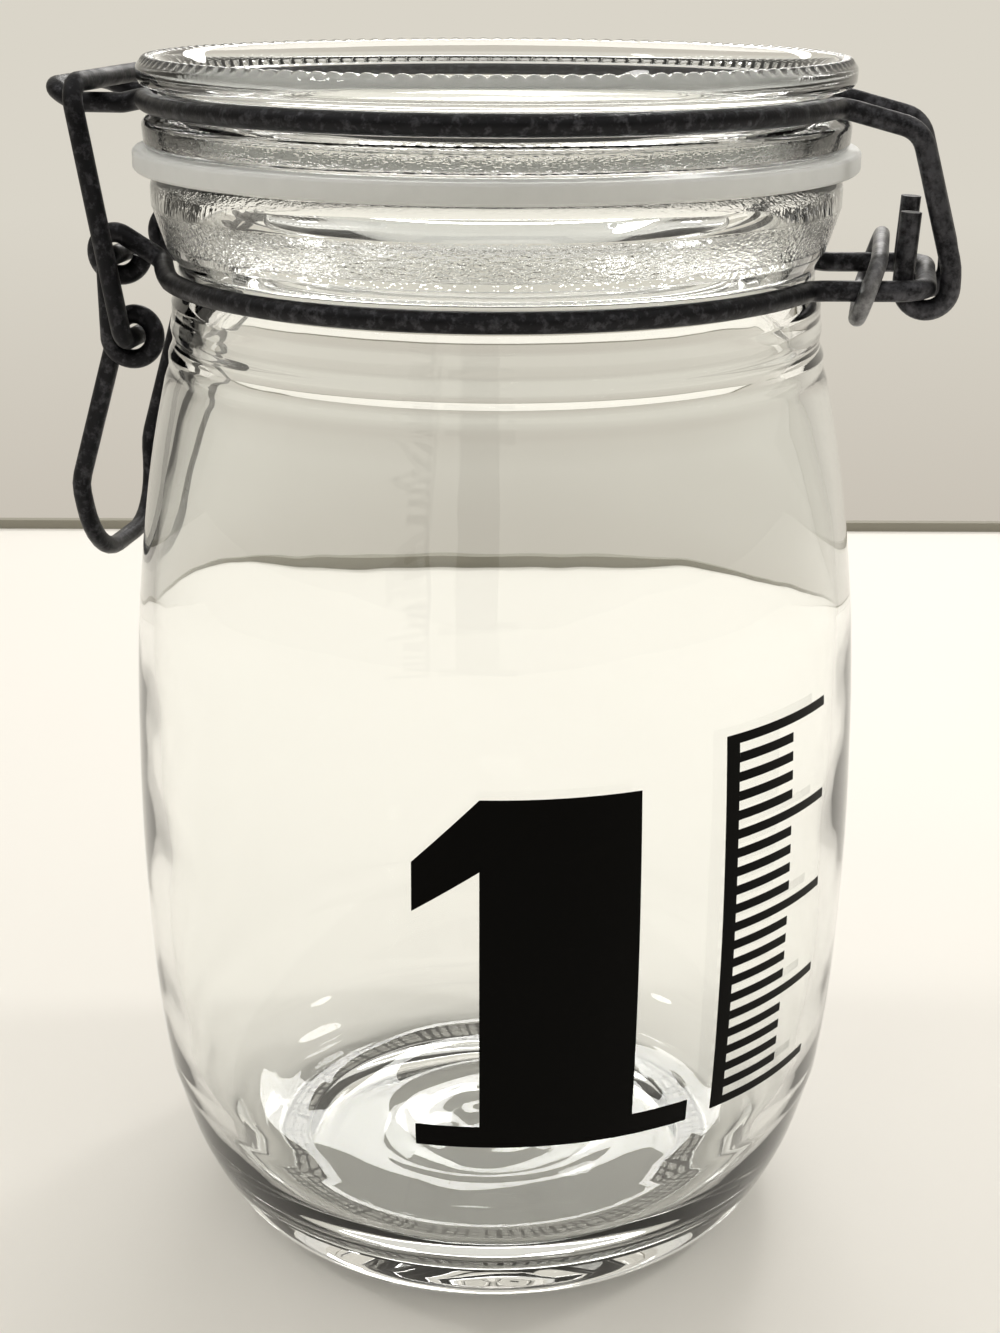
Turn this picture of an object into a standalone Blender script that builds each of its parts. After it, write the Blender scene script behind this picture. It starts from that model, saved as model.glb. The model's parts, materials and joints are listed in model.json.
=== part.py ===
"""Lidded glass canister, about one litre: glass jar, glass lid, rubber gasket and a wire bail closure.

Dimensions below are millimetres and the objects are made in metres.
Z is up, the jar axis is the Z axis and the foot stands on Z = 0.
The hinge of the lid is on +X, the latch and its lever are on -X.
"""

import math

import bmesh
import bpy
import numpy as np
from mathutils import Vector

MM = 0.001

# Jar
FOOT_INNER_R = 30.0
FOOT_OUTER_R = 37.5
FOOT_RECESS = 1.6
BODY_R = 54.1
WALL = 3.3
FLOOR_Z = 6.5
MOUTH_R = 42.5
COLLAR_R = 48.3
RIM_Z = 159.9
NECK_GROOVE_R = 45.1
NECK_BEAD_R = 46.2

# Gasket
GASKET_INNER_R = 43.2
GASKET_OUTER_R = 50.5
GASKET_Z = (160.2, 163.0)

# Lid
LID_R = 49.5
LID_BASE_Z = 163.3
LID_TOP_Z = 175.2
LID_GROOVE_R = 46.7
PLUG_R = 41.4
PLUG_TIP_R = 38.7
PLUG_TIP_Z = 154.2

# Wires
WIRE_R = 1.4
BAIL_WIRE_R = 1.35
RING_WIRE_R = 1.15
NECK_HOOP = (46.9, 146.0)
LID_HOOP = (48.4, 169.4)
HINGE = (60.2, 146.4)
HINGE_LOOP_Y = 13.5
LID_STRAND_Y = 9.5
HOOK_R = 3.1
NOSE_X = -61.3
NOSE_Y = 11.5
NOSE_Z = 168.5
NOSE_TIP_Z = 170.4
EYELET = (-52.0, 147.9)
EYELET_Y = 13.6
EYELET_R = 3.1
LEVER_EYE = (-48.95, 136.9)
LEVER_EYE_R = 3.05
LEVER_LEG_Y = 17.6
HANDLE_Y = 14.6
HANDLE_KINK = (-58.9, 114.8)
HANDLE_END = (-58.0, 102.8)
LINK_Y = 20.6
LINK_BAR = (-54.6, 171.6)

# Fineness
TURN_STEPS = 60
HOOP_STEP = 7.5
WIRE_BEVEL = 3


def material(name, colour, roughness, metallic=0.0, transmission=0.0):
    mat = bpy.data.materials.new(name)
    mat.use_nodes = True
    shader = mat.node_tree.nodes["Principled BSDF"]
    shader.inputs["Base Color"].default_value = (*colour, 1.0)
    shader.inputs["Roughness"].default_value = roughness
    shader.inputs["Metallic"].default_value = metallic
    shader.inputs["Transmission Weight"].default_value = transmission
    mat.diffuse_color = (*colour, 1.0)
    return mat


def place(obj, mat, origin):
    """Link an object whose data is drawn about the world origin, with its own origin at a point."""
    obj.data.materials.append(mat)
    obj.location = [c * MM for c in origin]
    bpy.context.collection.objects.link(obj)
    return obj


def turned(name, profile, mat, origin=(0.0, 0.0, 0.0)):
    """A solid of revolution about Z from a closed (r, z) outline."""
    bm = bmesh.new()
    shift = Vector(origin)
    verts = [bm.verts.new((Vector((r, 0.0, z)) - shift) * MM) for r, z in profile]
    edges = [bm.edges.new((v, verts[(i + 1) % len(verts)])) for i, v in enumerate(verts)]
    if profile[0][0] == 0.0:
        bm.edges.remove(edges.pop())
    axis_point = Vector((-origin[0], -origin[1], 0.0)) * MM
    bmesh.ops.spin(
        bm,
        geom=verts + edges,
        cent=axis_point,
        axis=(0, 0, 1),
        angle=math.tau,
        steps=TURN_STEPS,
        use_merge=True,
    )
    bmesh.ops.remove_doubles(bm, verts=bm.verts, dist=0.0001 * MM)
    bmesh.ops.recalc_face_normals(bm, faces=bm.faces)
    mesh = bpy.data.meshes.new(name)
    bm.to_mesh(mesh)
    bm.free()
    mesh.shade_smooth()
    return place(bpy.data.objects.new(name, mesh), mat, origin)


def wire(name, path, radius, mat, origin=(0.0, 0.0, 0.0), closed=False):
    """A round wire with flat ends along a path."""
    curve = bpy.data.curves.new(name, "CURVE")
    curve.dimensions = "3D"
    curve.twist_mode = "MINIMUM"
    curve.bevel_depth = radius * MM
    curve.bevel_resolution = WIRE_BEVEL
    curve.use_fill_caps = not closed
    spline = curve.splines.new("POLY")
    spline.points.add(len(path) - 1)
    for point, place_mm in zip(spline.points, path):
        point.co = (*((Vector(place_mm) - Vector(origin)) * MM), 1.0)
    spline.use_cyclic_u = closed
    spline.use_smooth = True
    return place(bpy.data.objects.new(name, curve), mat, origin)


def arc(centre, radius, start, end, step=15.0):
    """Points (u, v) on an arc from start to end degrees."""
    count = max(1, round(abs(end - start) / step))
    turns = np.radians(np.linspace(start, end, count + 1))
    return [(centre[0] + radius * math.cos(t), centre[1] + radius * math.sin(t)) for t in turns]


def rounded(points, radii, step=22.5):
    """A polyline whose inner corners are turned into arcs of the given radii."""
    points = [np.asarray(p, float) for p in points]
    out = [points[0]]
    for before, corner, after, radius in zip(points, points[1:], points[2:], radii):
        back = (before - corner) / np.linalg.norm(before - corner)
        ahead = (after - corner) / np.linalg.norm(after - corner)
        turn = math.pi - math.acos(max(-1.0, min(1.0, float(back @ ahead))))
        if radius <= 0 or turn < math.radians(3):
            out.append(corner)
            continue
        reach = radius * math.tan(turn / 2)
        inward = (back + ahead) / np.linalg.norm(back + ahead)
        centre = corner + inward * radius / math.cos(turn / 2)
        first = corner + back * reach - centre
        side = -back * radius
        count = max(2, round(math.degrees(turn) / step))
        for k in range(count + 1):
            a = turn * k / count
            out.append(centre + first * math.cos(a) + side * math.sin(a))
    out.append(points[-1])
    return out


def mirrored(half):
    """A half path from the -Y end to the plane Y = 0, continued by its mirror image."""
    half = [np.asarray(p, float) for p in half]
    other = [p * (1, -1, 1) for p in reversed(half)]
    return half + other[1:] if abs(half[-1][1]) < 1e-6 else half + other


def hoop(ring, start, end):
    """Points on a level hoop (radius, z) between two angles in degrees."""
    return [(x, y, ring[1]) for x, y in arc((0.0, 0.0), ring[0], start, end, HOOP_STEP)]


def jar_profile():
    """Outline from the centre of the underside, up the outside, over the rim and down the inside."""
    outside = [
        (0.0, FOOT_RECESS),
        (FOOT_INNER_R - 5.0, FOOT_RECESS),
        (FOOT_INNER_R, 0.0),
        (FOOT_OUTER_R, 0.0),
        (41.6, 1.6),
        (45.0, 6.0),
        (48.6, 13.5),
        (51.9, 25.0),
        (53.2, 37.0),
        (BODY_R, 58.0),
        (BODY_R - 0.1, 76.0),
        (53.2, 94.0),
        (51.5, 110.0),
        (49.6, 122.0),
        (47.4, 131.5),
        (NECK_BEAD_R + 0.4, 134.0),
        (NECK_BEAD_R - 0.1, 136.5),
        (NECK_BEAD_R, 139.5),
        (NECK_BEAD_R - 0.1, 142.3),
        (NECK_GROOVE_R, 144.2),
        (NECK_GROOVE_R, 147.7),
        (46.4, 149.6),
        (46.9, 151.2),
        (COLLAR_R, 155.6),
        (COLLAR_R, 158.6),
        (COLLAR_R - 1.3, RIM_Z),
    ]
    inside = [
        (MOUTH_R + 1.0, RIM_Z),
        (MOUTH_R, RIM_Z - 1.0),
        (MOUTH_R, 140.0),
        (43.6, 133.0),
        (46.0, 124.0),
        (48.4, 112.0),
        (50.0, 98.0),
        (BODY_R - WALL, 82.0),
        (BODY_R - WALL, 60.0),
        (50.0, 38.0),
        (48.2, 24.0),
        (43.6, 12.0),
        (36.5, FLOOR_Z + 0.8),
        (28.0, FLOOR_Z),
        (0.0, FLOOR_Z),
    ]
    return outside + inside


def lid_profile():
    """Outline from the centre of the underside, round the rim and back over the dish on top."""
    return [
        (0.0, 158.6),
        (31.0, 158.2),
        (34.6, 156.6),
        (35.6, PLUG_TIP_Z + 0.4),
        (36.6, PLUG_TIP_Z),
        (PLUG_TIP_R - 0.5, PLUG_TIP_Z),
        (PLUG_TIP_R + 0.1, PLUG_TIP_Z + 0.7),
        (40.6, 158.2),
        (PLUG_R, LID_BASE_Z - 2.0),
        (PLUG_R, LID_BASE_Z),
        (LID_R - 0.9, LID_BASE_Z),
        (LID_R - 0.4, LID_BASE_Z + 0.6),
        (LID_R - 0.4, 166.6),
        (LID_GROOVE_R + 0.6, 167.5),
        (LID_GROOVE_R, 168.3),
        (LID_GROOVE_R, 170.6),
        (LID_GROOVE_R + 0.7, 171.3),
        (LID_R - 0.5, 171.9),
        (LID_R, 172.8),
        (LID_R - 0.4, 174.2),
        (LID_R - 1.6, LID_TOP_Z),
        (46.3, LID_TOP_Z),
        (45.0, 174.4),
        (43.4, 171.0),
        (40.5, 167.6),
        (35.5, 165.3),
        (28.0, 164.4),
        (0.0, 164.0),
    ]


def gasket_profile():
    low, high = GASKET_Z
    edge = 0.5
    return [
        (GASKET_INNER_R, low),
        (GASKET_OUTER_R - edge, low),
        (GASKET_OUTER_R, low + edge),
        (GASKET_OUTER_R, high - edge),
        (GASKET_OUTER_R - edge, high),
        (GASKET_INNER_R, high),
    ]


def neck_wire_path():
    """Eyelet, hoop round the neck, wide hinge loop on +X, and the same again mirrored."""
    coil = [(x, -EYELET_Y, z) for x, z in arc(EYELET, EYELET_R, 350.0, 60.0, 18.0)]
    drift = np.linspace(2.5, 0.0, len(coil))
    eyelet = [(x, y + d, z) for (x, y, z), d in zip(coil, drift)]
    round_neck = hoop(NECK_HOOP, -160.0, -22.0)
    round_neck[0] = (round_neck[0][0], round_neck[0][1], 146.9)
    round_neck[1] = (round_neck[1][0], round_neck[1][1], 146.4)
    corner_in = (-45.1, -EYELET_Y, 147.4)
    corner_out = (45.2, -HINGE_LOOP_Y, NECK_HOOP[1])
    loop_corner = (HINGE[0], -HINGE_LOOP_Y, HINGE[1])
    start = rounded([eyelet[-1], corner_in, round_neck[0]], [2.2])
    end = rounded([round_neck[-1], corner_out, loop_corner, (HINGE[0], 0.0, HINGE[1])], [3.0, 4.2])
    return mirrored(eyelet + start[1:-1] + round_neck + end[1:])


def lid_wire_path():
    """Hook and stub at the hinge, hoop in the lid's groove, and the upturned nose on -X."""
    x, z = HINGE
    stub = [(x - HOOK_R + 0.5, z + 9.8), (x - HOOK_R, z + 1.0)]
    hook = arc(HINGE, HOOK_R, 180.0, 360.0, 18.0)
    shoulder = (58.2, 166.7, 0.0)
    leave = (47.8, LID_HOOP[1], 0.0)
    rise = rounded([(*hook[-1], 0.0), (x + HOOK_R, z + 2.6, 0.0), shoulder, leave], [9.0, 4.0])
    side = [(u, -LID_STRAND_Y, v) for u, v in stub + hook]
    side += [(p[0], -LID_STRAND_Y, p[1]) for p in rise[1:-1]]
    round_lid = hoop(LID_HOOP, -18.0, -160.0)
    into_lid = rounded([side[-1], (47.8, -LID_STRAND_Y, LID_HOOP[1]), round_lid[0]], [3.0])
    nose = rounded(
        [
            round_lid[-1],
            (-47.3, -NOSE_Y, LID_HOOP[1] - 0.2),
            (-50.5, -NOSE_Y, NOSE_Z),
            (-57.4, -NOSE_Y, NOSE_Z),
            (NOSE_X, -NOSE_Y + 1.2, NOSE_TIP_Z),
            (NOSE_X, 0.0, NOSE_TIP_Z),
        ],
        [3.0, 4.0, 2.4, 3.0],
    )
    return mirrored(side + into_lid[1:-1] + round_lid + nose[1:])


def hinge_ring_path():
    """Long oval ring that holds both strands of the hinge loop, leaning outwards at the top."""
    half_height = 3.9
    half_width = HINGE_LOOP_Y + WIRE_R + 0.35 + RING_WIRE_R - half_height
    right = arc((half_width, 0.0), half_height, -90.0, 90.0, 22.5)
    left = arc((-half_width, 0.0), half_height, 90.0, 270.0, 22.5)
    return [(52.6 + 0.32 * v, u, HINGE[1] + v) for u, v in right + left]


def lever_path():
    """Pin in the eyelet, leg, full coil eye, and the long U handle."""
    turn = [(p[0], p[1]) for p in arc(LEVER_EYE, LEVER_EYE_R, 183.0, 518.0, 16.0)]
    drift = np.linspace(-LEVER_LEG_Y, -HANDLE_Y, len(turn))
    eye = [(x, y, z) for (x, z), y in zip(turn, drift)]
    pin = [(EYELET[0], -8.6, EYELET[1]), (EYELET[0], -LEVER_LEG_Y, EYELET[1]), eye[0]]
    handle = [
        eye[-1],
        (HANDLE_KINK[0], -HANDLE_Y - 0.3, HANDLE_KINK[1]),
        (HANDLE_END[0], -12.6, HANDLE_END[1]),
        (HANDLE_END[0], 0.0, HANDLE_END[1]),
    ]
    return mirrored(rounded(pin, [2.0])[:-1] + eye + rounded(handle, [7.0, 10.5])[1:])


def link_path():
    """Foot through the lever's eye, leg, and the bar that lies on the nose."""
    corners = [
        (LEVER_EYE[0], -12.4, LEVER_EYE[1]),
        (LEVER_EYE[0], -LINK_Y, LEVER_EYE[1]),
        (LINK_BAR[0], -LINK_Y, LINK_BAR[1]),
        (LINK_BAR[0], 0.0, LINK_BAR[1]),
    ]
    return mirrored(rounded(corners, [2.0, 3.4]))


def main():
    for obj in list(bpy.data.objects):
        bpy.data.objects.remove(obj, do_unlink=True)

    jar_glass = material("jar_glass", (0.86, 0.91, 0.88), 0.05, transmission=1.0)
    lid_glass = material("lid_glass", (0.88, 0.92, 0.90), 0.05, transmission=1.0)
    rubber = material("gasket_rubber", (0.86, 0.87, 0.86), 0.45)
    steel = material("closure_steel", (0.10, 0.10, 0.105), 0.45, metallic=1.0)

    hinge_axis = (HINGE[0], 0.0, HINGE[1])
    turned("jar_body", jar_profile(), jar_glass)
    turned("lid", lid_profile(), lid_glass, hinge_axis)
    turned("gasket", gasket_profile(), rubber, hinge_axis)
    wire("neck_wire", neck_wire_path(), WIRE_R, steel)
    wire("hinge_ring", hinge_ring_path(), RING_WIRE_R, steel, closed=True)
    wire("lid_wire", lid_wire_path(), WIRE_R, steel, hinge_axis)
    wire("lever", lever_path(), BAIL_WIRE_R, steel, (EYELET[0], 0.0, EYELET[1]))
    wire("link", link_path(), BAIL_WIRE_R, steel, (LEVER_EYE[0], 0.0, LEVER_EYE[1]))


main()
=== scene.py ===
import json
import math

import bmesh
import bpy
import numpy as np
from mathutils import Matrix, Vector


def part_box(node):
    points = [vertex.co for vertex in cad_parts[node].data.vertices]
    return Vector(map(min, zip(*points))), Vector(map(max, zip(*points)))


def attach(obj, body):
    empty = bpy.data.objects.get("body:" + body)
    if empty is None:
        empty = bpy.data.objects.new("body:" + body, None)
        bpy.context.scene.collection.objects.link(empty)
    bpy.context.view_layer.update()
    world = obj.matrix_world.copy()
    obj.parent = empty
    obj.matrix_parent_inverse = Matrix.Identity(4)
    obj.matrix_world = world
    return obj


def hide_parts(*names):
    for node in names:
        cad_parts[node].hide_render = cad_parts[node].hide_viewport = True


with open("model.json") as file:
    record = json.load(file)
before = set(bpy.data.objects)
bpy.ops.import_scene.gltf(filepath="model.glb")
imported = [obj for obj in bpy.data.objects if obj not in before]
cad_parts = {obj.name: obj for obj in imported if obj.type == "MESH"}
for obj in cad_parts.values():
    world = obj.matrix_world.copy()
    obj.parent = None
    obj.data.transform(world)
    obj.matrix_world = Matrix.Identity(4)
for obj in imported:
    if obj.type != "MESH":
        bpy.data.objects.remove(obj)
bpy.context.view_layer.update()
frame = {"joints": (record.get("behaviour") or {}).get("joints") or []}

MM = 0.001


def box_mm(node):
    """Lowest and highest corner of a CAD node in millimetres."""
    low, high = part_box(node)
    return low / MM, high / MM


# Places and sizes are in millimetres throughout. These come from the frame.
JAR_HIGH = box_mm("jar_body")[1]
LID_LOW, LID_HIGH = box_mm("lid")
GASKET_LOW, GASKET_HIGH = box_mm("gasket")
LID_WIRE_LOW = box_mm("lid_wire")[0]
RING_HIGH = box_mm("hinge_ring")[1]
LINK_HIGH = box_mm("link")[1]
PIVOTS = {joint["name"]: Vector(joint["pos_m"]) / MM for joint in frame["joints"]}

# Jar: the stippled band runs round the flared collar under the rim
BODY_R = JAR_HIGH.x
RIM_Z = JAR_HIGH.z
WALL = 3.3
FOOT_R = 37.5
MOUTH_R = 42.5
COLLAR_R = 48.3
BAND_Z = (151.0, 155.3)
JAR_STEPS = 472

# Jar's small shapes: grip marks under the foot, swirl in the floor, waves in the blown inner wall
GRIP_R = 34.0
GRIP_REACH = 3.4
GRIP_GAP = 1.6
GRIP_HEIGHT = 0.16
SWIRL_END_R = 42.0
SWIRL_HEIGHT = 0.26
FLOOR_RANGE = (6.0, 12.0)
WAVE_DEPTH = 0.06

# Lid: plug, gasket seat, and the ring of beads on the rim's top outer edge
LID_R = LID_HIGH.x
LID_BASE_Z = GASKET_HIGH.z + 0.3
LID_TOP_Z = LID_HIGH.z
PLUG_R = 41.4
PLUG_TIP_Z = LID_LOW.z
BEADS = 136
BEAD_R = 48.0
BEAD_Z = LID_TOP_Z - 0.3
BEAD_REACH = 1.1
BEAD_HEIGHT = 0.45
STEPS_PER_BEAD = 6
GASKET_STEPS = 240

# Wires: thickness, then the places of bends; pairs are (x, z) except the hoops, (radius, z)
WIRE_R = 1.4
BAIL_WIRE_R = 1.35
RING_WIRE_R = 1.15
WIRE_SIDES = 20
HINGE = (PIVOTS["lid_hinge"].x, PIVOTS["lid_hinge"].z)
EYELET = (PIVOTS["lever_pivot"].x, PIVOTS["lever_pivot"].z)
LEVER_EYE = (PIVOTS["link_pivot"].x, PIVOTS["link_pivot"].z)
NECK_HOOP = (46.9, 146.0)
LID_HOOP = (48.4, 169.4)
HINGE_LOOP_Y = 13.5
LID_STRAND_Y = 9.5
HOOK_R = 3.1
STUB_HEIGHT = 9.8
NOSE_X = LID_WIRE_LOW.x + WIRE_R
NOSE_Y = 11.5
NOSE_Z = 168.5
NOSE_TIP_Z = 170.4
EYELET_Y = 13.6
EYELET_R = 3.1
LEVER_PIN_END_Y = 8.6
LEVER_EYE_R = 3.05
LEVER_LEG_Y = 17.6
HANDLE_Y = 14.6
HANDLE_END_Y = 12.6
HANDLE_KINK = (-58.9, 114.8)
HANDLE_END = (-58.0, 102.8)
LINK_FOOT_END_Y = 12.4
LINK_Y = LINK_HIGH.y - BAIL_WIRE_R
LINK_BAR = (-54.6, 171.6)

# Print: angles in degrees round the jar from the front towards the hinge, and heights
PRINT_PROUD = 0.06
STEM = (8.5, 31.5)
STEM_Z = (35.0, 86.0)
FLAG = [(-1.0, 70.0), (STEM[0], 76.0), (STEM[0], STEM_Z[1]), (-1.0, 77.0)]
SERIF = (-1.0, 41.0)
SERIF_Z = (STEM_Z[0] - 0.8, STEM_Z[0] + 2.6)
SPINE = (45.5, 48.0)
SPINE_Z = (34.6, 91.0)
MARKS = 21
MARK_GAP = 2.75
MARK_THICK = 1.4
MARKS_PER_LONG = 5
LONG_MARK_END = 69.5
SHORT_MARK_END = 60.0


# ---------------------------------------------------------------- outlines and paths


def smooth(points, gap=1.2):
    """Points on a smooth curve through the given ones, about a gap apart."""
    points = [np.asarray(p, float) for p in points]
    ends = [2 * points[0] - points[1], 2 * points[-1] - points[-2]]
    line = [ends[0], *points, ends[1]]
    out = []
    for p0, p1, p2, p3 in zip(line, line[1:], line[2:], line[3:]):
        # Knots by the root of the distance keep the curve from looping at close points
        d0 = max(np.linalg.norm(p1 - p0), 1e-6) ** 0.5
        d1 = max(np.linalg.norm(p2 - p1), 1e-6) ** 0.5
        d2 = max(np.linalg.norm(p3 - p2), 1e-6) ** 0.5
        m1 = (p1 - p0) / d0 - (p2 - p0) / (d0 + d1) + (p2 - p1) / d1
        m2 = (p2 - p1) / d1 - (p3 - p1) / (d1 + d2) + (p3 - p2) / d2
        count = max(1, math.ceil(np.linalg.norm(p2 - p1) / gap))
        for k in range(count):
            t = k / count
            a, b = 2 * t**3 - 3 * t**2 + 1, t**3 - 2 * t**2 + t
            c, d = -2 * t**3 + 3 * t**2, t**3 - t**2
            out.append(a * p1 + b * m1 * d1 + c * p2 + d * m2 * d1)
    return out + [points[-1]]


def rounded(points, radii, step=10.0):
    """A polyline whose inner corners are turned into arcs of the given radii."""
    straight = math.radians(3)
    points = [np.asarray(p, float) for p in points]
    out = [points[0]]
    for before, corner, after, radius in zip(points, points[1:], points[2:], radii):
        back = (before - corner) / np.linalg.norm(before - corner)
        ahead = (after - corner) / np.linalg.norm(after - corner)
        turn = math.pi - math.acos(max(-1.0, min(1.0, float(back @ ahead))))
        if radius <= 0 or turn < straight:
            out.append(corner)
            continue
        reach = radius * math.tan(turn / 2)
        inward = (back + ahead) / np.linalg.norm(back + ahead)
        centre = corner + inward * radius / math.cos(turn / 2)
        first = corner + back * reach - centre
        side = -back * radius
        count = max(2, round(math.degrees(turn) / step))
        for k in range(count + 1):
            a = turn * k / count
            out.append(centre + first * math.cos(a) + side * math.sin(a))
    out.append(points[-1])
    return out


def dense(points, gap):
    """The same polyline with points no further than a gap apart."""
    out = []
    for a, b in zip(points, points[1:]):
        a, b = np.asarray(a, float), np.asarray(b, float)
        count = max(1, math.ceil(np.linalg.norm(b - a) / gap))
        out += [a + (b - a) * k / count for k in range(count)]
    return out + [np.asarray(points[-1], float)]


def arc(centre, radius, start, end, step=8.0):
    """Points (u, v) on an arc from start to end degrees."""
    turns = np.radians(np.linspace(start, end, max(1, round(abs(end - start) / step)) + 1))
    return [(centre[0] + radius * math.cos(t), centre[1] + radius * math.sin(t)) for t in turns]


def mirrored(half):
    """A half path from the -Y end to the plane Y = 0, continued by its mirror image."""
    half = [np.asarray(p, float) for p in half]
    other = [p * (1, -1, 1) for p in reversed(half)]
    return half + other[1:] if abs(half[-1][1]) < 1e-6 else half + other


def hoop(ring, start, end):
    """Points on a level hoop (radius, z) between two angles in degrees."""
    return [(x, y, ring[1]) for x, y in arc((0.0, 0.0), ring[0], start, end, 2.5)]


def neck_wire_path():
    """Eyelet, hoop round the neck, wide hinge loop on +X, and the same again mirrored."""
    coil = [(x, -EYELET_Y, z) for x, z in arc(EYELET, EYELET_R, 350.0, 60.0)]
    # The coil's end stands beside its start, and the hoop comes down to its groove
    drift = np.linspace(2.5, 0.0, len(coil))
    eyelet = [(x, y + d, z) for (x, y, z), d in zip(coil, drift)]
    round_neck = hoop(NECK_HOOP, -160.0, -22.0)
    lift = np.linspace(0.9, 0.0, 5)
    round_neck[:5] = [(x, y, z + d) for (x, y, z), d in zip(round_neck, lift)]
    corner_in = (-45.1, -EYELET_Y, 147.4)
    corner_out = (45.2, -HINGE_LOOP_Y, NECK_HOOP[1])
    loop_corner = (HINGE[0], -HINGE_LOOP_Y, HINGE[1])
    loop_middle = (HINGE[0], 0.0, HINGE[1])
    start = rounded([eyelet[-1], corner_in, round_neck[0]], [2.2])
    end = rounded([round_neck[-1], corner_out, loop_corner, loop_middle], [3.0, 4.2])
    return mirrored(eyelet + start[1:-1] + round_neck + end[1:])


def lid_wire_path():
    """Hook and stub at the hinge, hoop in the lid's groove, and the upturned nose on -X."""
    x, z = HINGE
    stub = [(x - HOOK_R + 0.5, z + STUB_HEIGHT), (x - HOOK_R, z + 1.0)]
    hook = arc(HINGE, HOOK_R, 180.0, 360.0)
    foot = (*hook[-1], 0.0)
    shoulder = (58.2, 166.7, 0.0)
    leave = (47.8, LID_HOOP[1], 0.0)
    rise = rounded([foot, (x + HOOK_R, z + 2.6, 0.0), shoulder, leave], [9.0, 4.0])
    side = [(u, -LID_STRAND_Y, v) for u, v in stub + hook]
    side += [(p[0], -LID_STRAND_Y, p[1]) for p in rise[1:-1]]
    round_lid = hoop(LID_HOOP, -18.0, -160.0)
    into_lid = rounded([side[-1], (leave[0], -LID_STRAND_Y, leave[1]), round_lid[0]], [3.0])
    nose = rounded(
        [
            round_lid[-1],
            (-47.3, -NOSE_Y, LID_HOOP[1] - 0.2),
            (-50.5, -NOSE_Y, NOSE_Z),
            (-57.4, -NOSE_Y, NOSE_Z),
            (NOSE_X, -NOSE_Y + 1.2, NOSE_TIP_Z),
            (NOSE_X, 0.0, NOSE_TIP_Z),
        ],
        [3.0, 4.0, 2.4, 3.0],
    )
    return mirrored(side + into_lid[1:-1] + round_lid + nose[1:])


def hinge_ring_path():
    """Long oval ring that holds both strands of the hinge loop, leaning outwards at the top."""
    middle_x, lean = 52.6, 0.32
    half_height = 3.9
    half_width = RING_HIGH.y - RING_WIRE_R - half_height
    right = arc((half_width, 0.0), half_height, -90.0, 90.0)
    left = arc((-half_width, 0.0), half_height, 90.0, 270.0)
    return [(middle_x + lean * v, u, HINGE[1] + v) for u, v in right + left]


def lever_path():
    """Pin in the eyelet, leg, full coil eye, and the long U handle."""
    turn = arc(LEVER_EYE, LEVER_EYE_R, 183.0, 518.0)
    drift = np.linspace(-LEVER_LEG_Y, -HANDLE_Y, len(turn))
    eye = [(x, y, z) for (x, z), y in zip(turn, drift)]
    pin = [
        (EYELET[0], -LEVER_PIN_END_Y, EYELET[1]),
        (EYELET[0], -LEVER_LEG_Y, EYELET[1]),
        eye[0],
    ]
    handle = [
        eye[-1],
        (HANDLE_KINK[0], -HANDLE_Y - 0.3, HANDLE_KINK[1]),
        (HANDLE_END[0], -HANDLE_END_Y, HANDLE_END[1]),
        (HANDLE_END[0], 0.0, HANDLE_END[1]),
    ]
    return mirrored(rounded(pin, [2.0])[:-1] + eye + rounded(handle, [7.0, 10.5])[1:])


def link_path():
    """Foot through the lever's eye, leg, and the bar that lies on the nose."""
    corners = [
        (LEVER_EYE[0], -LINK_FOOT_END_Y, LEVER_EYE[1]),
        (LEVER_EYE[0], -LINK_Y, LEVER_EYE[1]),
        (LINK_BAR[0], -LINK_Y, LINK_BAR[1]),
        (LINK_BAR[0], 0.0, LINK_BAR[1]),
    ]
    return mirrored(rounded(corners, [2.0, 3.4]))


def jar_outside():
    """The jar's outer outline, from the centre of the pushed-up underside to the mouth."""
    underside = smooth([(0.0, 3.4), (12.0, 3.2), (22.0, 2.6), (27.5, 1.4), (30.5, 0.25)], 1.6)
    foot = dense([(31.0, 0.0), (36.6, 0.0)], 0.4) + [(FOOT_R, 0.35)]
    heel = smooth(
        [
            (38.8, 0.8), (41.6, 1.9), (43.1, 3.4), (45.0, 6.0),
            (48.6, 13.5), (51.9, 25.0),
        ],
        1.4,
    )
    body = smooth(
        [
            (51.9, 25.0), (53.2, 37.0), (BODY_R, 58.0), (BODY_R - 0.1, 76.0),
            (53.2, 94.0), (51.5, 110.0), (49.6, 122.0), (47.6, 131.0),
        ],
        3.4,
    )
    shoulder_rings = smooth(
        [
            (47.6, 131.0), (46.9, 133.2), (46.9, 134.7), (46.3, 136.2),
            (46.2, 137.2), (46.45, 138.4), (46.2, 139.9), (46.1, 142.3),
        ],
        0.8,
    )
    collar = rounded(
        [
            (46.1, 142.3), (45.1, 144.2), (45.1, 147.7), (46.4, 149.6), (46.9, BAND_Z[0]),
            (COLLAR_R, BAND_Z[1] + 0.3), (COLLAR_R, 158.4), (COLLAR_R - 1.4, RIM_Z),
            (MOUTH_R + 1.1, RIM_Z), (MOUTH_R, RIM_Z - 1.2),
        ],
        [0.8, 1.4, 1.2, 1.2, 0.8, 1.2, 1.2, 0.8, 0.8],
        15.0,
    )
    return underside + foot + heel + body[1:] + shoulder_rings[1:] + dense(collar[1:], 2.4)


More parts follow.
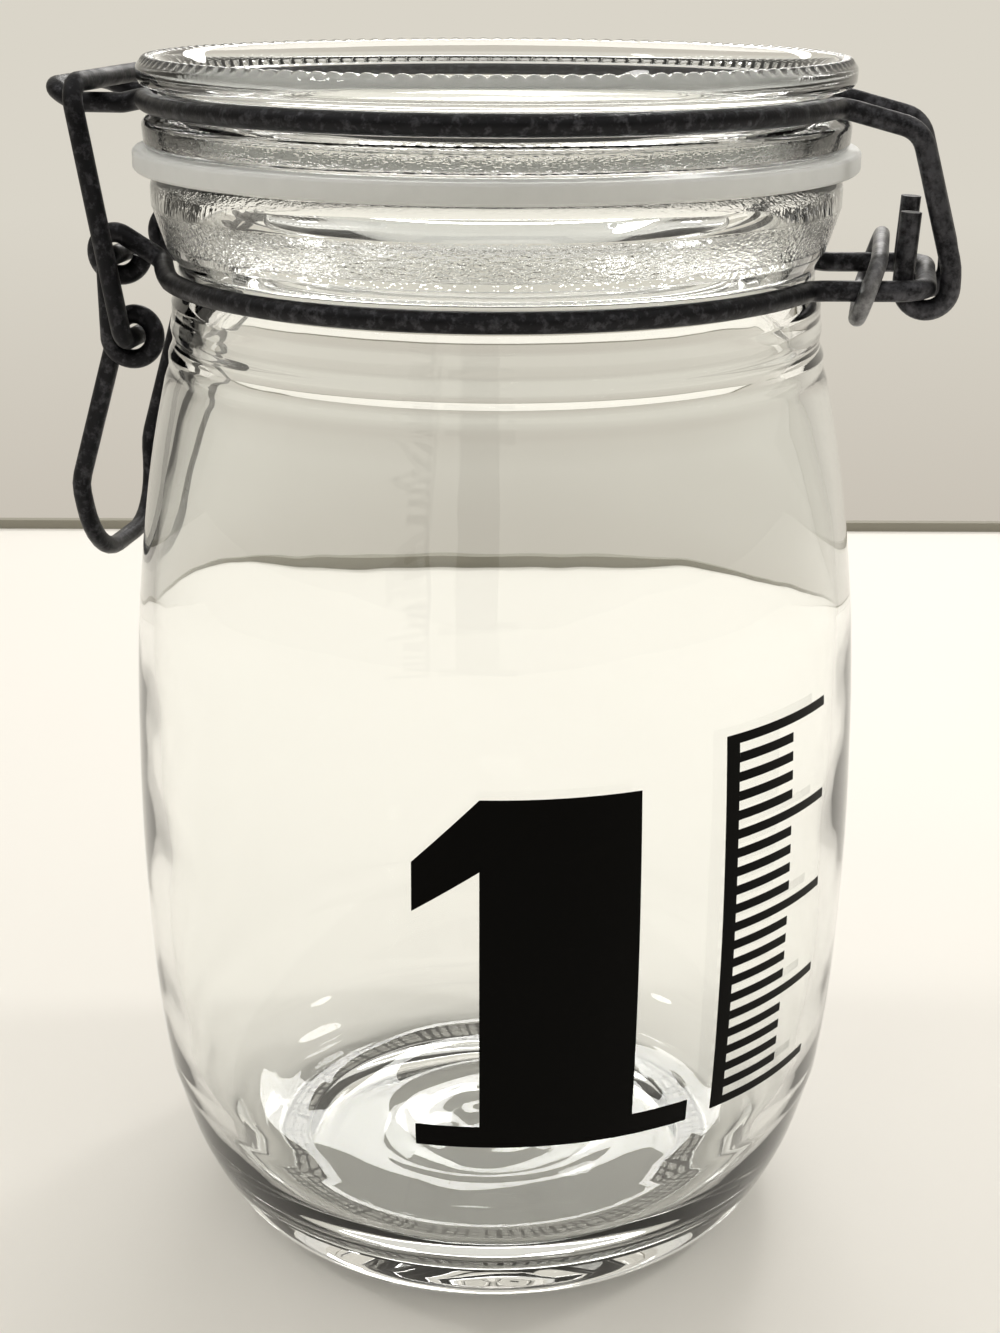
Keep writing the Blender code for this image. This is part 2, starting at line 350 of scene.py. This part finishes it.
def jar_inside():
    """The jar's inner outline, from the mouth down to the centre of the floor."""
    throat = [(MOUTH_R, RIM_Z - 1.2), (MOUTH_R, 150.0), (MOUTH_R, 140.0)]
    wall = smooth(
        [
            (MOUTH_R, 140.0), (43.1, 133.0), (45.5, 124.0), (48.4, 112.0), (50.5, 98.0),
            (BODY_R - WALL + 0.5, 82.0), (BODY_R - WALL + 0.3, 60.0), (50.2, 38.0),
            (48.2, 24.0), (43.6, 12.4), (37.5, 8.6), (31.0, 7.4), (25.0, 7.9), (19.0, 7.3),
            (12.0, 7.9), (5.0, 7.4), (0.0, 7.5),
        ],
        3.2,
    )
    return dense(throat, 6.0)[1:] + wall[1:]


def lid_outline():
    """The lid, from the centre of its underside round plug and rim to the centre of the dish."""
    under = smooth([(0.0, 158.6), (16.0, 158.5), (28.0, 158.3), (31.0, 158.0)], 4.0)
    plug_and_rim = rounded(
        [
            (31.0, 158.0), (34.4, 157.0), (35.8, PLUG_TIP_Z), (38.4, PLUG_TIP_Z),
            (40.4, 158.0), (PLUG_R, 161.2), (PLUG_R, LID_BASE_Z), (LID_R - 0.6, LID_BASE_Z),
            (LID_R - 0.4, 166.7), (46.7, 167.9), (46.7, 170.9), (LID_R - 0.1, 171.5),
            (LID_R, 174.0), (LID_R - 1.2, BEAD_Z), (46.6, BEAD_Z), (44.8, 173.8),
        ],
        [1.2, 0.8, 0.8, 2.0, 1.5, 0.6, 0.9, 1.2, 0.7, 0.7, 1.1, 1.1, 1.1, 1.2],
        18.0,
    )
    dish = smooth(
        [
            (44.8, 173.8), (43.2, 170.6), (40.4, 167.6), (35.5, 165.3),
            (28.0, 164.4), (14.0, 164.1), (0.0, 164.0),
        ],
        2.6,
    )
    return under + dense(plug_and_rim[1:], 2.2) + dish[1:]


def gasket_outline():
    """The flat ring's section, starting and ending in the middle of its inner edge."""
    low, high = GASKET_LOW.z, GASKET_HIGH.z
    inner, outer = 43.2, GASKET_HIGH.x
    chamfer = 0.35
    corners = [
        (inner, (low + high) / 2), (inner, low), (outer - chamfer, low),
        (outer, low + chamfer), (outer, high - chamfer), (outer - chamfer, high),
        (inner, high), (inner, (low + high) / 2),
    ]
    return dense(rounded(corners, [0.3] * 6), 0.8)[:-1]


# ---------------------------------------------------------------- making meshes


def mesh_piece(name, mesh, finish):
    """An object at the origin for a finished mesh, with its normals outwards."""
    bm = bmesh.new()
    bm.from_mesh(mesh)
    bmesh.ops.recalc_face_normals(bm, faces=bm.faces)
    bm.to_mesh(mesh)
    bm.free()
    mesh.shade_smooth()
    mesh.materials.clear()
    mesh.materials.append(finish)
    piece = bpy.data.objects.new(name, mesh)
    bpy.context.scene.collection.objects.link(piece)
    return piece


def turned(name, outline, steps, finish, shaped=None):
    """A closed solid of revolution from an (r, z) outline; shaped(r, z, angle) may move it."""
    outline = np.array([tuple(p) for p in outline], float)
    angle = np.arange(steps) * math.tau / steps
    r = np.repeat(outline[:, :1], steps, axis=1)
    z = np.repeat(outline[:, 1:], steps, axis=1)
    if shaped:
        r, z = shaped(r, z, angle[None, :])
    points = np.stack([r * np.cos(angle), r * np.sin(angle), z], axis=2).reshape(-1, 3) * MM
    rows = len(outline)
    is_ring = outline[0][0] > 0.0
    quads = []
    for i in range(rows if is_ring else rows - 1):
        a = i * steps + np.arange(steps)
        b = (i + 1) % rows * steps + np.arange(steps)
        quads.append(np.stack([a, np.roll(a, -1), np.roll(b, -1), b], axis=1))
    mesh = bpy.data.meshes.new(name)
    mesh.from_pydata(points.tolist(), [], np.concatenate(quads).tolist())
    # The first and last rows of a full solid fall on the axis and become one point each
    bm = bmesh.new()
    bm.from_mesh(mesh)
    bmesh.ops.remove_doubles(bm, verts=bm.verts, dist=0.002 * MM)
    bm.to_mesh(mesh)
    bm.free()
    return mesh_piece(name, mesh, finish)


def add_node(tree, kind, settings=(), inputs=()):
    """Adds a node with its settings; each input is linked to a socket or set to a plain value."""
    node = tree.nodes.new(kind)
    for name, value in dict(settings).items():
        setattr(node, name, value)
    for name, value in dict(inputs).items():
        if isinstance(value, bpy.types.NodeSocket):
            tree.links.new(value, node.inputs[name])
        else:
            node.inputs[name].default_value = value
    return node


def wire_tree(finish):
    """Geometry nodes that make a round wire of a path, with its radius and sides as inputs."""
    tree = bpy.data.node_groups.new("bent_wire", "GeometryNodeTree")
    tree.interface.new_socket("Path", in_out="INPUT", socket_type="NodeSocketGeometry")
    tree.interface.new_socket("Wire Radius", in_out="INPUT", socket_type="NodeSocketFloat")
    tree.interface.new_socket("Sides", in_out="INPUT", socket_type="NodeSocketInt")
    tree.interface.new_socket("Wire", in_out="OUTPUT", socket_type="NodeSocketGeometry")
    given = add_node(tree, "NodeGroupInput").outputs
    path = add_node(tree, "GeometryNodeMeshToCurve", inputs={"Mesh": given["Path"]})
    circle = add_node(
        tree,
        "GeometryNodeCurvePrimitiveCircle",
        {"mode": "RADIUS"},
        {"Resolution": given["Sides"], "Radius": given["Wire Radius"]},
    )
    tube = add_node(
        tree,
        "GeometryNodeCurveToMesh",
        inputs={
            "Curve": path.outputs["Curve"],
            "Profile Curve": circle.outputs["Curve"],
            "Fill Caps": True,
        },
    )
    real = add_node(
        tree, "GeometryNodeRealizeInstances", inputs={"Geometry": tube.outputs["Mesh"]}
    )
    painted = add_node(
        tree,
        "GeometryNodeSetMaterial",
        inputs={"Geometry": real.outputs["Geometry"], "Material": finish},
    )
    add_node(tree, "NodeGroupOutput", inputs={"Wire": painted.outputs["Geometry"]})
    return tree


def wire(name, path, radius, tree, finish, closed=False):
    """A bent wire along a path, made by the wire tree and turned to a plain mesh."""
    line = bpy.data.meshes.new(name + "_path")
    count = len(path)
    edges = [(i, i + 1) for i in range(count - 1)]
    if closed:
        edges.append((count - 1, 0))
    line.from_pydata([tuple(c * MM for c in p) for p in path], edges, [])
    guide = bpy.data.objects.new(name + "_path", line)
    bpy.context.scene.collection.objects.link(guide)
    modifier = guide.modifiers.new("bent_wire", "NODES")
    modifier.node_group = tree
    inputs = [item for item in tree.interface.items_tree if item.in_out == "INPUT"]
    sockets = {item.name: item.identifier for item in inputs}
    modifier[sockets["Wire Radius"]] = radius * MM
    modifier[sockets["Sides"]] = WIRE_SIDES
    ready = guide.evaluated_get(bpy.context.evaluated_depsgraph_get())
    mesh = bpy.data.meshes.new_from_object(ready)
    mesh.name = name
    guide.modifiers.remove(modifier)
    bpy.data.objects.remove(guide)
    piece = mesh_piece(name, mesh, finish)
    mesh.set_sharp_from_angle(angle=math.radians(50))
    return piece


# ---------------------------------------------------------------- materials

# A Mix node has sockets of the same name for each kind of data; these are its colour ones
COLOUR_A, COLOUR_B, MIXED = 6, 7, 2


def linear(colour):
    """sRGB hex to linear RGBA."""
    parts = [int(colour[i : i + 2], 16) / 255 for i in (1, 3, 5)]
    return (*(c / 12.92 if c <= 0.04045 else ((c + 0.055) / 1.055) ** 2.4 for c in parts), 1.0)


def per_mm(size):
    """Noise scale for a pattern whose grain is so many millimetres, on coordinates in metres."""
    return 1.0 / (size * MM)


def new_material(name):
    """An empty node material and the object coordinates that its patterns use."""
    material = bpy.data.materials.new(name)
    material.use_nodes = True
    tree = material.node_tree
    tree.nodes.clear()
    place = add_node(tree, "ShaderNodeTexCoord").outputs["Object"]
    return material, tree, place


def within(tree, value, low, high, edge):
    """1 where a value in metres lies between two places, fading to 0 over the edge."""
    rise = add_node(
        tree,
        "ShaderNodeMapRange",
        inputs={"Value": value, "From Min": (low - edge) * MM, "From Max": low * MM},
    )
    fall = add_node(
        tree,
        "ShaderNodeMapRange",
        inputs={
            "Value": value,
            "From Min": high * MM,
            "From Max": (high + edge) * MM,
            "To Min": 1.0,
            "To Max": 0.0,
        },
    )
    return add_node(
        tree,
        "ShaderNodeMath",
        {"operation": "MULTIPLY"},
        {0: rise.outputs["Result"], 1: fall.outputs["Result"]},
    ).outputs["Value"]


def pressed_glass(name, tint, wave, stippled, stipple):
    """Soda-lime glass pressed in an iron mould: clear and nearly colourless. Slow waves in its
    skin bend what is seen through it, and a stippled band, where the mould was left rough,
    breaks the light into glints."""
    material, tree, place = new_material(name)
    slow = add_node(
        tree,
        "ShaderNodeTexNoise",
        inputs={"Vector": place, "Scale": per_mm(14.0), "Detail": 1.0},
    )
    waves = add_node(
        tree,
        "ShaderNodeBump",
        inputs={"Strength": 1.0, "Distance": wave * MM, "Height": slow.outputs["Fac"]},
    )
    # The band is where both the height and the distance from the axis are in range
    axes = add_node(tree, "ShaderNodeSeparateXYZ", inputs={"Vector": place})
    level = add_node(
        tree, "ShaderNodeVectorMath", {"operation": "MULTIPLY"}, {0: place, 1: (1.0, 1.0, 0.0)}
    )
    radius = add_node(
        tree, "ShaderNodeVectorMath", {"operation": "LENGTH"}, {0: level.outputs["Vector"]}
    )
    in_height = within(tree, axes.outputs["Z"], *stippled, 0.4)
    on_outside = within(tree, radius.outputs["Value"], 44.0, 60.0, 0.4)
    band = add_node(
        tree, "ShaderNodeMath", {"operation": "MULTIPLY"}, {0: in_height, 1: on_outside}
    )
    # Stipple longer round the jar than up it, drawn coarser than the real one so that it shows
    flat = add_node(
        tree, "ShaderNodeVectorMath", {"operation": "MULTIPLY"}, {0: place, 1: (1.0, 1.0, 2.2)}
    )
    dimples = add_node(
        tree,
        "ShaderNodeTexNoise",
        inputs={"Vector": flat.outputs["Vector"], "Scale": per_mm(0.9), "Detail": 1.0},
    )
    grit = add_node(
        tree,
        "ShaderNodeMath",
        {"operation": "MULTIPLY"},
        {0: dimples.outputs["Fac"], 1: band.outputs["Value"]},
    )
    face = add_node(
        tree,
        "ShaderNodeBump",
        inputs={
            "Strength": 1.0,
            "Distance": stipple * MM,
            "Height": grit.outputs["Value"],
            "Normal": waves.outputs["Normal"],
        },
    )
    glass = add_node(
        tree,
        "ShaderNodeBsdfPrincipled",
        inputs={
            "Base Color": linear(tint),
            "Roughness": 0.0,
            "IOR": 1.5,
            "Transmission Weight": 1.0,
            "Normal": face.outputs["Normal"],
        },
    )
    add_node(tree, "ShaderNodeOutputMaterial", inputs={"Surface": glass.outputs["BSDF"]})
    return material


def silicone_rubber():
    """Moulded silicone rubber: milky and glowing, because light goes into it, with a soft sheen."""
    material, tree, place = new_material("moulded_silicone")
    cloud = add_node(
        tree,
        "ShaderNodeTexNoise",
        inputs={"Vector": place, "Scale": per_mm(3.0), "Detail": 2.0},
    )
    tone = add_node(
        tree,
        "ShaderNodeMix",
        {"data_type": "RGBA"},
        {
            "Factor": cloud.outputs["Fac"],
            COLOUR_A: linear("#f7f8f6"),
            COLOUR_B: linear("#eceeeb"),
        },
    )
    # The moulded grain is drawn coarser than the real one so that it shows
    grain = add_node(
        tree,
        "ShaderNodeTexNoise",
        inputs={"Vector": place, "Scale": per_mm(0.8), "Detail": 2.0},
    )
    face = add_node(
        tree,
        "ShaderNodeBump",
        inputs={"Strength": 1.0, "Distance": 0.03 * MM, "Height": grain.outputs["Fac"]},
    )
    depth = 4.0 * MM
    rubber = add_node(
        tree,
        "ShaderNodeBsdfPrincipled",
        inputs={
            "Base Color": tone.outputs[MIXED],
            "Roughness": 0.36,
            "IOR": 1.41,
            "Transmission Weight": 0.3,
            "Subsurface Weight": 0.4,
            "Subsurface Radius": (depth, depth, depth),
            "Subsurface Scale": 1.0,
            "Normal": face.outputs["Normal"],
        },
    )
    add_node(tree, "ShaderNodeOutputMaterial", inputs={"Surface": rubber.outputs["BSDF"]})
    return material


def patinated_steel(name, dark, mid, worn):
    """Galvanised steel wire gone dark with age: a charcoal skin in uneven patches, paler and
    scuffed where it rubs, most of all at the hinge, and finely pitted, so its shine is broken."""
    material, tree, place = new_material(name)
    patches = add_node(
        tree,
        "ShaderNodeTexNoise",
        inputs={"Vector": place, "Scale": per_mm(3.5), "Detail": 4.0, "Roughness": 0.6},
    ).outputs["Fac"]
    rubbed = add_node(
        tree,
        "ShaderNodeTexNoise",
        inputs={"Vector": place, "Scale": per_mm(1.3), "Detail": 5.0, "Roughness": 0.65},
    ).outputs["Fac"]
    skin_tone = add_node(
        tree,
        "ShaderNodeMix",
        {"data_type": "RGBA"},
        {"Factor": patches, COLOUR_A: linear(dark), COLOUR_B: linear(mid)},
    ).outputs[MIXED]
    axes = add_node(tree, "ShaderNodeSeparateXYZ", inputs={"Vector": place})
    hinge_reach = 16.0
    at_hinge = add_node(
        tree,
        "ShaderNodeMapRange",
        inputs={
            "Value": axes.outputs["X"],
            "From Min": (HINGE[0] - hinge_reach) * MM,
            "From Max": HINGE[0] * MM,
            "To Min": 0.0,
            "To Max": 0.16,
        },
    ).outputs["Result"]
    scuffed = add_node(
        tree, "ShaderNodeMath", {"operation": "ADD"}, {0: rubbed, 1: at_hinge}
    ).outputs["Value"]
    wear = add_node(
        tree,
        "ShaderNodeMapRange",
        inputs={
            "Value": scuffed,
            "From Min": 0.5,
            "From Max": 0.75,
            "To Min": 0.0,
            "To Max": 0.7,
        },
    ).outputs["Result"]
    worn_tone = add_node(
        tree,
        "ShaderNodeMix",
        {"data_type": "RGBA"},
        {"Factor": wear, COLOUR_A: skin_tone, COLOUR_B: linear(worn)},
    ).outputs[MIXED]
    gloss = add_node(
        tree,
        "ShaderNodeMapRange",
        inputs={
            "Value": patches,
            "From Min": 0.3,
            "From Max": 0.7,
            "To Min": 0.34,
            "To Max": 0.58,
        },
    ).outputs["Result"]
    pits = add_node(
        tree,
        "ShaderNodeTexNoise",
        inputs={"Vector": place, "Scale": per_mm(0.35), "Detail": 3.0},
    )
    face = add_node(
        tree,
        "ShaderNodeBump",
        inputs={"Strength": 0.8, "Distance": 0.05 * MM, "Height": pits.outputs["Fac"]},
    )
    steel = add_node(
        tree,
        "ShaderNodeBsdfPrincipled",
        inputs={
            "Base Color": worn_tone,
            "Metallic": 0.9,
            "Roughness": gloss,
            "Normal": face.outputs["Normal"],
        },
    )
    add_node(tree, "ShaderNodeOutputMaterial", inputs={"Surface": steel.outputs["BSDF"]})
    return material


def fired_enamel():
    """Black screen-printed enamel fired on the glass: dense and even, with little shine and a
    faint grain of the screen."""
    material, tree, place = new_material("fired_enamel")
    cloud = add_node(
        tree,
        "ShaderNodeTexNoise",
        inputs={"Vector": place, "Scale": per_mm(1.5), "Detail": 3.0},
    )
    tone = add_node(
        tree,
        "ShaderNodeMix",
        {"data_type": "RGBA"},
        {
            "Factor": cloud.outputs["Fac"],
            COLOUR_A: linear("#040403"),
            COLOUR_B: linear("#070605"),
        },
    )
    # The screen's grain is drawn coarser than the real one so that it shows
    grain = add_node(
        tree,
        "ShaderNodeTexNoise",
        inputs={"Vector": place, "Scale": per_mm(0.5), "Detail": 2.0},
    )
    face = add_node(
        tree,
        "ShaderNodeBump",
        inputs={"Strength": 0.5, "Distance": 0.02 * MM, "Height": grain.outputs["Fac"]},
    )
    enamel = add_node(
        tree,
        "ShaderNodeBsdfPrincipled",
        inputs={
            "Base Color": tone.outputs[MIXED],
            "Roughness": 0.3,
            "IOR": 1.5,
            "Specular IOR Level": 0.05,
            "Normal": face.outputs["Normal"],
        },
    )
    add_node(tree, "ShaderNodeOutputMaterial", inputs={"Surface": enamel.outputs["BSDF"]})
    return material


def painted_board(name, colour):
    """Satin painted board: nearly even, with a breath of unevenness in its gloss."""
    material, tree, place = new_material(name)
    cloud = add_node(
        tree,
        "ShaderNodeTexNoise",
        inputs={"Vector": place, "Scale": per_mm(120.0), "Detail": 2.0},
    )
    gloss = add_node(
        tree,
        "ShaderNodeMapRange",
        inputs={
            "Value": cloud.outputs["Fac"],
            "From Min": 0.3,
            "From Max": 0.7,
            "To Min": 0.5,
            "To Max": 0.62,
        },
    )
    paint = add_node(
        tree,
        "ShaderNodeBsdfPrincipled",
        inputs={"Base Color": linear(colour), "Roughness": gloss.outputs["Result"]},
    )
    add_node(tree, "ShaderNodeOutputMaterial", inputs={"Surface": paint.outputs["BSDF"]})
    return material


# ---------------------------------------------------------------- the pieces


def fade(value, nought, full):
    """0 at one value and 1 at another, straight between them and level beyond them."""
    return np.clip((value - nought) / (full - nought), 0.0, 1.0)


def wall_radius(z):
    """Radius of the jar's outer wall at a height."""
    outside = np.array([tuple(p) for p in jar_outside() if 12.0 < p[1] < 130.0])
    return np.interp(z, outside[:, 1], outside[:, 0])


def jar_shape(r, z, angle):
    """Grip marks under the foot, and the blown inside: a swirled floor and an uneven wall."""
    foot = fade(np.abs(r - GRIP_R), GRIP_REACH, 0.0) * (z < 0.4)
    round_foot = np.maximum(0.0, np.cos(angle * JAR_STEPS / 4))
    across_foot = np.maximum(0.0, np.cos(r * math.tau / GRIP_GAP))
    grip = GRIP_HEIGHT * foot * round_foot * across_foot
    on_floor = (z > FLOOR_RANGE[0]) * (z < FLOOR_RANGE[1])
    floor = fade(r, 0.0, 4.0) * fade(r, SWIRL_END_R, SWIRL_END_R - 12.0) * on_floor
    rings = np.sin(r * 0.95 + 1.3 * np.sin(angle))
    twist = np.sin(2 * angle + r * 0.4)
    swirl = SWIRL_HEIGHT * floor * (rings + 0.7 * twist)
    inner_wall = fade(z, 55.0, 70.0) * fade(z, 128.0, 116.0) * (r < wall_radius(z) - 1.0)
    waves = np.sin(z * 0.27 + 1.4 * np.sin(2 * angle + 0.6) + 0.5 * np.sin(4 * angle))
    return r + WAVE_DEPTH * inner_wall * waves, z + grip + swirl


def lid_shape(r, z, angle):
    """A ring of round beads on the rim's top outer edge, never higher than the lid's top."""
    near = np.clip(1.0 - ((r - BEAD_R) ** 2 + (z - BEAD_Z) ** 2) / BEAD_REACH**2, 0.0, 1.0)
    bead = np.abs(np.cos(angle * BEADS / 2)) ** 0.7
    lift = BEAD_HEIGHT * (bead - 0.35) * near
    return r + lift * 0.5, z + np.minimum(lift, LID_TOP_Z - z)


def build_jar(glass):
    jar = turned("jar_glass", jar_outside() + jar_inside(), JAR_STEPS, glass, jar_shape)
    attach(jar, "jar")
    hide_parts("jar_body")


def build_lid(glass, rubber):
    lid = turned("lid_glass", lid_outline(), BEADS * STEPS_PER_BEAD, glass, lid_shape)
    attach(lid, "hinged_lid")
    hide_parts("lid")
    gasket = turned("gasket_ring", gasket_outline(), GASKET_STEPS, rubber)
    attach(gasket, "hinged_lid")
    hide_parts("gasket")


def build_closure(steel, pale_steel):
    """The wires; a row holds name, CAD node, body, path, radius, finish, and if it is a ring."""
    tree = wire_tree(steel)
    wires = [
        ("neck_wire_bent", "neck_wire", "jar", neck_wire_path(), WIRE_R, steel, False),
        ("hinge_ring_bent", "hinge_ring", "jar", hinge_ring_path(), RING_WIRE_R, pale_steel, True),
        ("lid_wire_bent", "lid_wire", "hinged_lid", lid_wire_path(), WIRE_R, steel, False),
        ("lever_bent", "lever", "latch_lever", lever_path(), BAIL_WIRE_R, steel, False),
        ("link_bent", "link", "latch_link", link_path(), BAIL_WIRE_R, steel, False),
    ]
    for name, node, body, path, radius, finish, closed in wires:
        piece = wire(name, path, radius, tree, finish, closed)
        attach(piece, body)
        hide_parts(node)


def block(angles, heights):
    """The four corners of an upright patch between two angles and two heights."""
    (left, right), (low, high) = angles, heights
    return [(left, low), (right, low), (right, high), (left, high)]


def enamel_patch(bm, wall, corners, across=24, up=24):
    """A four-cornered patch of enamel on the jar; corners are (degrees from the front, z)."""
    heights, radii = wall
    (a0, z0), (a1, z1), (a2, z2), (a3, z3) = corners
    grid = []
    for j in range(up + 1):
        v = j / up
        row = []
        for i in range(across + 1):
            u = i / across
            low_turn, high_turn = (1 - u) * a0 + u * a1, (1 - u) * a3 + u * a2
            low_z, high_z = (1 - u) * z0 + u * z1, (1 - u) * z3 + u * z2
            turn = math.radians((1 - v) * low_turn + v * high_turn)
            z = (1 - v) * low_z + v * high_z
            r = np.interp(z, heights, radii) + PRINT_PROUD
            row.append(bm.verts.new((r * math.sin(turn) * MM, -r * math.cos(turn) * MM, z * MM)))
        grid.append(row)
    for lower, upper in zip(grid, grid[1:]):
        for i in range(across):
            bm.faces.new((lower[i], lower[i + 1], upper[i + 1], upper[i]))


def printed(name, patches, enamel):
    """A print on the jar, of patches given as corners, faces across and faces up."""
    heights = np.linspace(20.0, 120.0, 101)
    wall = (heights, wall_radius(heights))
    bm = bmesh.new()
    for corners, across, up in patches:
        enamel_patch(bm, wall, corners, across, up)
    mesh = bpy.data.meshes.new(name)
    bm.to_mesh(mesh)
    bm.free()
    return mesh_piece(name, mesh, enamel)


def build_print(enamel):
    """A plain numeral 1 and a column of scale marks, fired on the front of the jar."""
    strokes = [(block(STEM, STEM_Z), 24, 24), (FLAG, 24, 24), (block(SERIF, SERIF_Z), 48, 4)]
    numeral = printed("printed_numeral", strokes, enamel)
    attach(numeral, "jar")
    marks = [(block(SPINE, SPINE_Z), 4, 48)]
    for k in range(MARKS):
        z = SPINE_Z[0] + k * MARK_GAP
        end = LONG_MARK_END if k % MARKS_PER_LONG == 0 else SHORT_MARK_END
        marks.append((block((SPINE[1], end), (z, z + MARK_THICK)), 16, 2))
    scale = printed("printed_scale", marks, enamel)
    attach(scale, "jar")


# ---------------------------------------------------------------- table, light and camera


# The viewer stands a little round the jar from its front, and the stage is turned with them
VIEW_TURN = math.radians(10.6)
TABLE_EDGE = 382.0
TABLE_NEAR = -1600.0
TABLE_HALF_WIDTH = 1600.0
TABLE_THICK = 30.0
# Gap and half height of the dark strip behind the table's back edge, a painted shadow line
SHADOW_STRIP_GAP = 1.5
SHADOW_STRIP_HALF = 3.0
JAR_MIDDLE = (0.0, 0.0, 60.0)
JAR_NECK = (0.0, 0.0, 150.0)
WARM_WHITE = "#fffdfa"


def turned_about_z(x, y, z):
    """A place given from the viewer's side, turned with the camera, in metres."""
    return Matrix.Rotation(VIEW_TURN, 4, "Z") @ (Vector((x, y, z)) * MM)


def board(name, near_far, low_high, finish):
    """A long straight board of the stage, between two distances and two heights."""
    bm = bmesh.new()
    bmesh.ops.create_cube(bm, size=1.0)
    for v in bm.verts:
        x = v.co.x * 2 * TABLE_HALF_WIDTH
        v.co = turned_about_z(x, near_far[v.co.y > 0], low_high[v.co.z > 0])
    mesh = bpy.data.meshes.new(name)
    bm.to_mesh(mesh)
    bm.free()
    mesh.materials.append(finish)
    piece = bpy.data.objects.new(name, mesh)
    bpy.context.scene.collection.objects.link(piece)
    return piece


def build_table(finish, shadow_strip_finish):
    """The table, and a low dark strip along its back where it meets the wall: a painted shadow line
    that stands for the shade there.
    """
    table = board("table", (TABLE_NEAR, TABLE_EDGE), (-TABLE_THICK, 0.0), finish)
    # The strip is dark only to stand for the shade where table and wall meet: painted shadow
    shadow_strip_near_far = (TABLE_EDGE + SHADOW_STRIP_GAP - SHADOW_STRIP_HALF / 2, TABLE_EDGE + SHADOW_STRIP_GAP + SHADOW_STRIP_HALF / 2)
    shadow_strip = board("painted_shadow_strip", shadow_strip_near_far, (-SHADOW_STRIP_HALF, SHADOW_STRIP_HALF), shadow_strip_finish)


def area_light(name, place, aim, size, power, mirrored_in_glass):
    """An oval soft box (width, height) facing its aim; places are from the viewer's side."""
    light = bpy.data.lights.new(name, "AREA")
    light.shape = "ELLIPSE"
    light.size = size[0] * MM
    light.size_y = size[1] * MM
    light.energy = power
    light.color = linear(WARM_WHITE)[:3]
    lamp = bpy.data.objects.new(name, light)
    lamp.location = turned_about_z(*place)
    facing = turned_about_z(*aim) - lamp.location
    lamp.rotation_euler = facing.to_track_quat("-Z", "Y").to_euler()
    lamp.visible_glossy = mirrored_in_glass
    bpy.context.scene.collection.objects.link(lamp)


def build_lamps():
    """Two side lamps, a small high one whose glints show, and two behind that light the neck."""
    small, wide = (160.0, 160.0), (200.0, 200.0)
    area_light("lamp_right", (820.0, 120.0, 700.0), JAR_MIDDLE, small, 2.25, False)
    area_light("lamp_left", (-820.0, 60.0, 700.0), JAR_MIDDLE, small, 1.7, False)
    area_light("lamp_high_left", (-580.0, -60.0, 1000.0), JAR_NECK, (120.0, 120.0), 0.5, True)
    area_light("lamp_back_right", (420.0, 700.0, 1000.0), JAR_MIDDLE, wide, 2.2, False)
    area_light("lamp_back_strip", (110.0, 900.0, 580.0), JAR_NECK, (700.0, 150.0), 2.2, True)


def build_room(behind, low, front, side, above):
    """A pale wall behind the table, dimmer low down, at the sides and in front, and a pale
    ceiling. Each tone takes over between two values of the direction looked in."""
    world = bpy.data.worlds.new("room")
    world.use_nodes = True
    tree = world.node_tree
    tree.nodes.clear()
    way = add_node(tree, "ShaderNodeTexCoord").outputs["Generated"]
    axes = add_node(tree, "ShaderNodeSeparateXYZ", inputs={"Vector": way})
    tone = linear(low)
    for axis, start, end, colour in (
        ("Z", -0.26, -0.12, behind),
        ("Y", 0.45, -0.35, front),
        ("X", 0.4, 0.85, side),
        ("X", -0.4, -0.85, side),
        ("Z", 0.3, 0.7, above),
    ):
        share = add_node(
            tree,
            "ShaderNodeMapRange",
            inputs={"Value": axes.outputs[axis], "From Min": start, "From Max": end},
        )
        tone = add_node(
            tree,
            "ShaderNodeMix",
            {"data_type": "RGBA"},
            {"Factor": share.outputs["Result"], COLOUR_A: tone, COLOUR_B: linear(colour)},
        ).outputs[MIXED]
    glow = add_node(tree, "ShaderNodeBackground", inputs={"Color": tone, "Strength": 1.0})
    add_node(tree, "ShaderNodeOutputWorld", inputs={"Surface": glow.outputs["Background"]})
    bpy.context.scene.world = world


def build_camera():
    """The viewer's eye, at arm's length and a little above the lid."""
    distance, height = 297.0, 189.9
    pitch, yaw, roll = 0.3387, 0.0025, 0.004
    camera = bpy.data.cameras.new("camera")
    camera.sensor_width = 36.0
    camera.lens = 55.7
    camera.clip_start = 0.01
    holder = bpy.data.objects.new("camera", camera)
    place = Matrix.Translation(turned_about_z(0.0, -distance, height))
    turn = Matrix.Rotation(VIEW_TURN - yaw, 4, "Z")
    tilt = Matrix.Rotation(math.pi / 2 - pitch, 4, "X")
    lean = Matrix.Rotation(roll, 4, "Z")
    holder.matrix_world = place @ turn @ tilt @ lean
    bpy.context.scene.collection.objects.link(holder)
    bpy.context.scene.camera = holder


jar_material = pressed_glass("pressed_glass_jar", "#fdfefd", 0.06, BAND_Z, 0.16)
lid_material = pressed_glass("pressed_glass_lid", "#fdfefd", 0.10, (163.0, 167.0), 0.04)
steel_material = patinated_steel("patinated_steel", "#1b1b1d", "#2f2f32", "#636368")
ring_material = patinated_steel("bare_zinc_steel", "#5c5c5e", "#77777a", "#a6a6a8")

build_jar(jar_material)
build_lid(lid_material, silicone_rubber())
build_closure(steel_material, ring_material)
build_print(fired_enamel())
# The second board's dark colour is painted shadow, for the strip behind the table's back edge
build_table(painted_board("satin_table", "#ebe8e2"), painted_board("shaded_edge", "#8f8b7e"))
build_room("#dad5c9", "#c9c2b6", "#7b7872", "#9c988e", "#ebe8e1")
build_lamps()
build_camera()
bpy.context.scene.view_settings.view_transform = "Standard"
